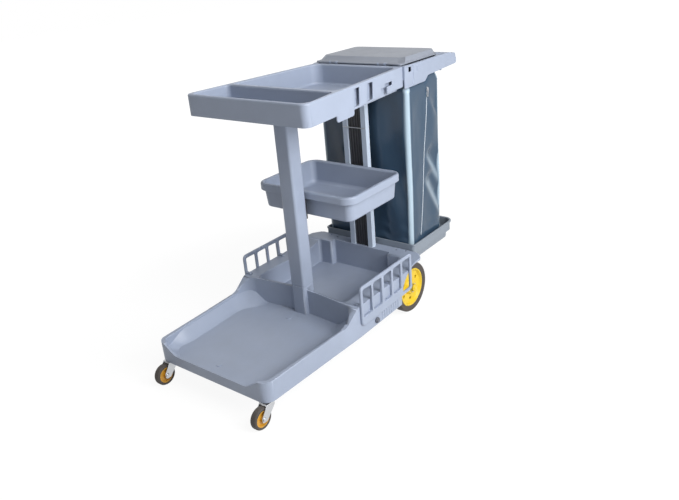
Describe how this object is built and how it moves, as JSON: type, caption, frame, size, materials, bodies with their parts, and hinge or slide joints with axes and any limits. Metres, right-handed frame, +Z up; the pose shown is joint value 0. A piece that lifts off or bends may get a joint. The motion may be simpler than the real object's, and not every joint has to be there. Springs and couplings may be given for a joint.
{
  "type": "janitor cart",
  "caption": "Grey janitor cart with a bucket platform, bin, lift-out tray, top tray, lidded waste bag, side fences, large rear wheels and front swivel casters.",
  "frame": {"origin": "on the floor, below the middle of the cart's bounding box", "axes": "+X towards the push handle, +Y to the far side seen in the picture, +Z up"},
  "size_m": [1.3474, 0.564, 0.963],
  "materials": {
    "body": "fine moulded grain",
    "lid": "fine moulded grain",
    "post": "satin powder coat",
    "dark_plastic": "matte black",
    "vinyl": "glossy coated cloth",
    "zip_tape": "woven tape",
    "steel": "bright zinc",
    "zinc": "bright zinc plate",
    "rubber": "matte",
    "tyre": "matte",
    "yellow_hub": "satin",
    "amber_hub": "satin",
    "nylon": "smooth"
  },
  "bodies": {
    "chassis": {"base": "body", "column": "body", "column_screws": "steel", "top_tray": "body", "rear_frame": "body", "frame_screws": "steel", "lid_pins": "steel", "bag_ring": "dark_plastic", "bag_collar": "vinyl", "bag": "vinyl", "bag_zip": "zip_tape", "bag_tray": "body", "bag_tray_screws": "steel", "post_near": "post", "post_far": "post", "back_panel": "dark_plastic", "post_wire": "steel", "tray_bracket": "dark_plastic", "tray_hooks": "dark_plastic", "fence_near": "body", "fence_far": "body", "side_bumpers": "rubber", "rear_axle": "steel", "axle_washers": "steel", "axle_caps": "yellow_hub", "caster_stems": "steel", "caster_cups": "dark_plastic"},
    "mid_tray": {"mid_tray": "body"},
    "lid": {"lid": "lid"},
    "zip_slider": {"zip_slider": "steel"},
    "rear_wheel_near": {"tyre_near": "tyre", "hub_near": "yellow_hub", "bush_near": "nylon"},
    "rear_wheel_far": {"tyre_far": "tyre", "hub_far": "yellow_hub", "bush_far": "nylon"},
    "caster_near": {"caster_fork_near": "zinc", "caster_axle_near": "steel"},
    "caster_far": {"caster_fork_far": "zinc", "caster_axle_far": "steel"},
    "caster_wheel_near": {"caster_hub_near": "amber_hub", "caster_tyre_near": "tyre"},
    "caster_wheel_far": {"caster_hub_far": "amber_hub", "caster_tyre_far": "tyre"}
  },
  "joints": [
    {"name": "lid_hinge", "type": "hinge", "parent": "chassis", "child": "lid", "pos_m": [0.29175, 0, 0.9435], "axis": [0, -1, 0], "range_deg": [0, 100]},
    {"name": "mid_tray_lift", "type": "slide", "parent": "chassis", "child": "mid_tray", "axis": [0, 0, 1], "range_m": [0, 0.15]},
    {"name": "zip_slide", "type": "slide", "parent": "chassis", "child": "zip_slider", "axis": [-0.1221, 0, -0.9925], "range_m": [0, 0.52]},
    {"name": "rear_wheel_near_spin", "type": "hinge", "parent": "chassis", "child": "rear_wheel_near", "pos_m": [0.22675, -0.231, 0.1], "axis": [0, 1, 0], "continuous": true},
    {"name": "rear_wheel_far_spin", "type": "hinge", "parent": "chassis", "child": "rear_wheel_far", "pos_m": [0.22675, 0.231, 0.1], "axis": [0, 1, 0], "continuous": true},
    {"name": "caster_near_swivel", "type": "hinge", "parent": "chassis", "child": "caster_near", "pos_m": [-0.60125, -0.228, 0.08], "axis": [0, 0, 1], "continuous": true},
    {"name": "caster_far_swivel", "type": "hinge", "parent": "chassis", "child": "caster_far", "pos_m": [-0.60125, 0.228, 0.08], "axis": [0, 0, 1], "continuous": true},
    {"name": "caster_wheel_near_spin", "type": "hinge", "parent": "caster_near", "child": "caster_wheel_near", "pos_m": [-0.63625, -0.228, 0.0375], "axis": [0, 1, 0], "continuous": true},
    {"name": "caster_wheel_far_spin", "type": "hinge", "parent": "caster_far", "child": "caster_wheel_far", "pos_m": [-0.63625, 0.228, 0.0375], "axis": [0, 1, 0], "continuous": true}
  ]
}
